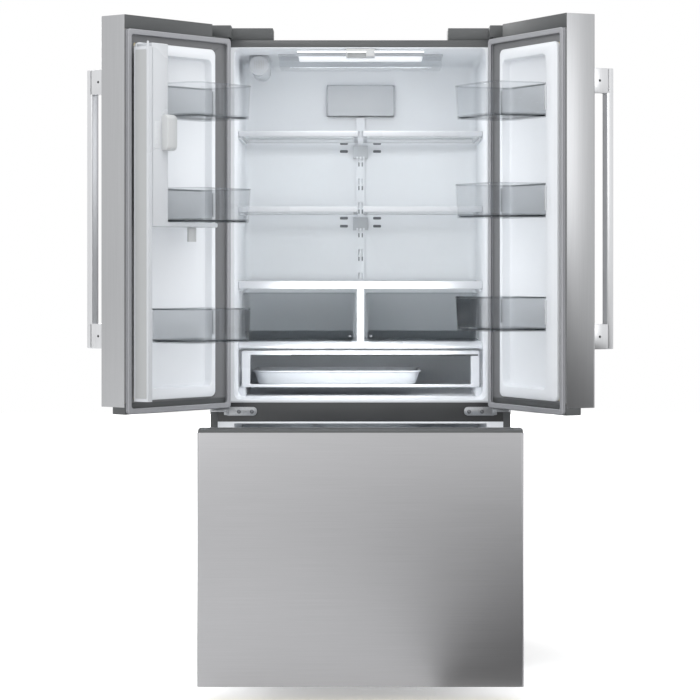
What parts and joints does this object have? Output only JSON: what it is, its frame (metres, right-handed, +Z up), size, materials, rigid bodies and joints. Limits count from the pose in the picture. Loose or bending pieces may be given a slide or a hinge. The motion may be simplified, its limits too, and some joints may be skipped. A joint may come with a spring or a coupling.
{
  "type": "french door refrigerator",
  "caption": "Tall french door refrigerator with shelves, crispers, door bins and a freezer drawer below; doors swing, drawers slide.",
  "frame": {"origin": "on the floor under the middle of the cabinet's front plane", "axes": "+Z up, the front faces -Y, +X to the right seen from the front"},
  "size_m": [1.3907, 1.284, 1.777],
  "materials": {
    "stainless": "horizontally brushed",
    "case_paint": "fine textured grey paint",
    "zinc_sheet": "plain zinc-coated sheet",
    "foam": "closed-cell foam, open pores",
    "white_liner": "vacuum-formed, soft gloss",
    "white_trim": "moulded, satin",
    "lamp_cover": "frosted diffuser",
    "shelf_glass": "clear float glass",
    "clear_plastic": "clear moulded tub",
    "hinge_steel": "plated steel",
    "grey_trim": "fine-grained grey moulding",
    "black_iron": "black enamel",
    "coil_metal": "bare metal",
    "black_plastic": "moulded black",
    "seal_grey": "soft matt vinyl",
    "satin_bar": "satin anodised",
    "light_grey": "satin grey moulding"
  },
  "bodies": {
    "cabinet": {"air_duct": "white_trim", "back_panel": "zinc_sheet", "base_frame": "zinc_sheet", "bottom_hinges": "hinge_steel", "case_wrapper": "case_paint", "ceiling_light": "lamp_cover", "compressor": "black_iron", "condenser": "coil_metal", "control_board": "grey_trim", "crisper_frame": "white_trim", "drawer_rails_outer": "hinge_steel", "drip_pan": "grey_trim", "evaporator": "coil_metal", "evaporator_cover": "white_liner", "freezer_liner": "white_liner", "fridge_liner": "white_liner", "front_mullion": "case_paint", "hinge_covers": "grey_trim", "hinge_screws": "hinge_steel", "insulation": "foam", "levelling_feet": "black_plastic", "machine_cover": "zinc_sheet", "mullion_guide": "white_trim", "power_inlet": "black_plastic", "shelf_frames": "white_trim", "shelf_glass": "shelf_glass", "top_hinges": "hinge_steel", "water_filter": "white_trim"},
    "left_door": {"left_door_bins": "clear_plastic", "left_door_caps": "grey_trim", "left_door_foam": "foam", "left_door_gasket": "seal_grey", "left_door_handle": "satin_bar", "left_door_liner": "white_liner", "left_door_skin": "stainless", "dispenser_housing": "white_liner"},
    "right_door": {"right_door_bins": "clear_plastic", "right_door_caps": "grey_trim", "right_door_foam": "foam", "right_door_gasket": "seal_grey", "right_door_handle": "satin_bar", "right_door_liner": "white_liner", "right_door_skin": "stainless"},
    "mullion_flap": {"mullion_flap": "light_grey"},
    "dispenser_paddle": {"dispenser_paddle": "light_grey"},
    "left_crisper": {"left_crisper": "clear_plastic"},
    "right_crisper": {"right_crisper": "clear_plastic"},
    "pantry_drawer": {"pantry_drawer": "clear_plastic"},
    "freezer_drawer": {"drawer_skin": "stainless", "drawer_grip_trim": "grey_trim", "drawer_foam": "foam", "drawer_liner": "white_liner", "drawer_gasket": "seal_grey", "freezer_basket": "clear_plastic", "drawer_rails_inner": "hinge_steel"},
    "drawer_rails_middle": {"drawer_rails_middle": "hinge_steel"},
    "freezer_tray": {"freezer_tray": "clear_plastic"},
    "condenser_fan": {"condenser_fan": "grey_trim"},
    "evaporator_fan": {"evaporator_fan": "white_trim"},
    "rear_rollers": {"rear_rollers": "black_plastic"}
  },
  "joints": [
    {"name": "left_door_hinge", "type": "hinge", "parent": "cabinet", "child": "left_door", "pos_m": [-0.4028, -0.0568, 1.2], "axis": [0, 0, -1], "range_deg": [-128.4, 1.6]},
    {"name": "right_door_hinge", "type": "hinge", "parent": "cabinet", "child": "right_door", "pos_m": [0.4028, -0.0568, 1.2], "axis": [0, 0, 1], "range_deg": [-115.5, 14.5]},
    {"name": "flap_hinge", "type": "hinge", "parent": "left_door", "child": "mullion_flap", "pos_m": [-0.58342, -0.39062, 1.22], "axis": [0, 0, 1], "range_deg": [-90, 0]},
    {"name": "paddle_hinge", "type": "hinge", "parent": "left_door", "child": "dispenser_paddle", "pos_m": [-0.45106, -0.2518, 1.2169], "axis": [0.6211, 0.7837, 0], "range_deg": [0, 14], "stiffness_Nm_per_rad": 0.05},
    {"name": "left_crisper_slide", "type": "slide", "parent": "cabinet", "child": "left_crisper", "axis": [0, -1, 0], "range_m": [0, 0.32]},
    {"name": "right_crisper_slide", "type": "slide", "parent": "cabinet", "child": "right_crisper", "axis": [0, -1, 0], "range_m": [0, 0.32]},
    {"name": "pantry_slide", "type": "slide", "parent": "cabinet", "child": "pantry_drawer", "axis": [0, -1, 0], "range_m": [0, 0.33]},
    {"name": "freezer_drawer_slide", "type": "slide", "parent": "cabinet", "child": "freezer_drawer", "axis": [0, -1, 0], "range_m": [-0.471, 0.02]},
    {"name": "middle_rail_slide", "type": "slide", "parent": "cabinet", "child": "drawer_rails_middle", "axis": [0, -1, 0], "range_m": [-0.2355, 0.01]},
    {"name": "freezer_tray_slide", "type": "slide", "parent": "cabinet", "child": "freezer_tray", "axis": [0, -1, 0], "range_m": [0, 0.38]},
    {"name": "condenser_fan_spin", "type": "hinge", "parent": "cabinet", "child": "condenser_fan", "pos_m": [-0.012, 0.59, 0.125], "axis": [1, 0, 0], "continuous": true},
    {"name": "evaporator_fan_spin", "type": "hinge", "parent": "cabinet", "child": "evaporator_fan", "pos_m": [0, 0.522, 0.612], "axis": [0, 1, 0], "continuous": true},
    {"name": "rear_roller_spin", "type": "hinge", "parent": "cabinet", "child": "rear_rollers", "pos_m": [0, 0.64, 0.013], "axis": [1, 0, 0], "continuous": true}
  ],
  "couplings": [
    {"joint": "middle_rail_slide", "follows": "freezer_drawer_slide", "ratio": 0.5}
  ]
}
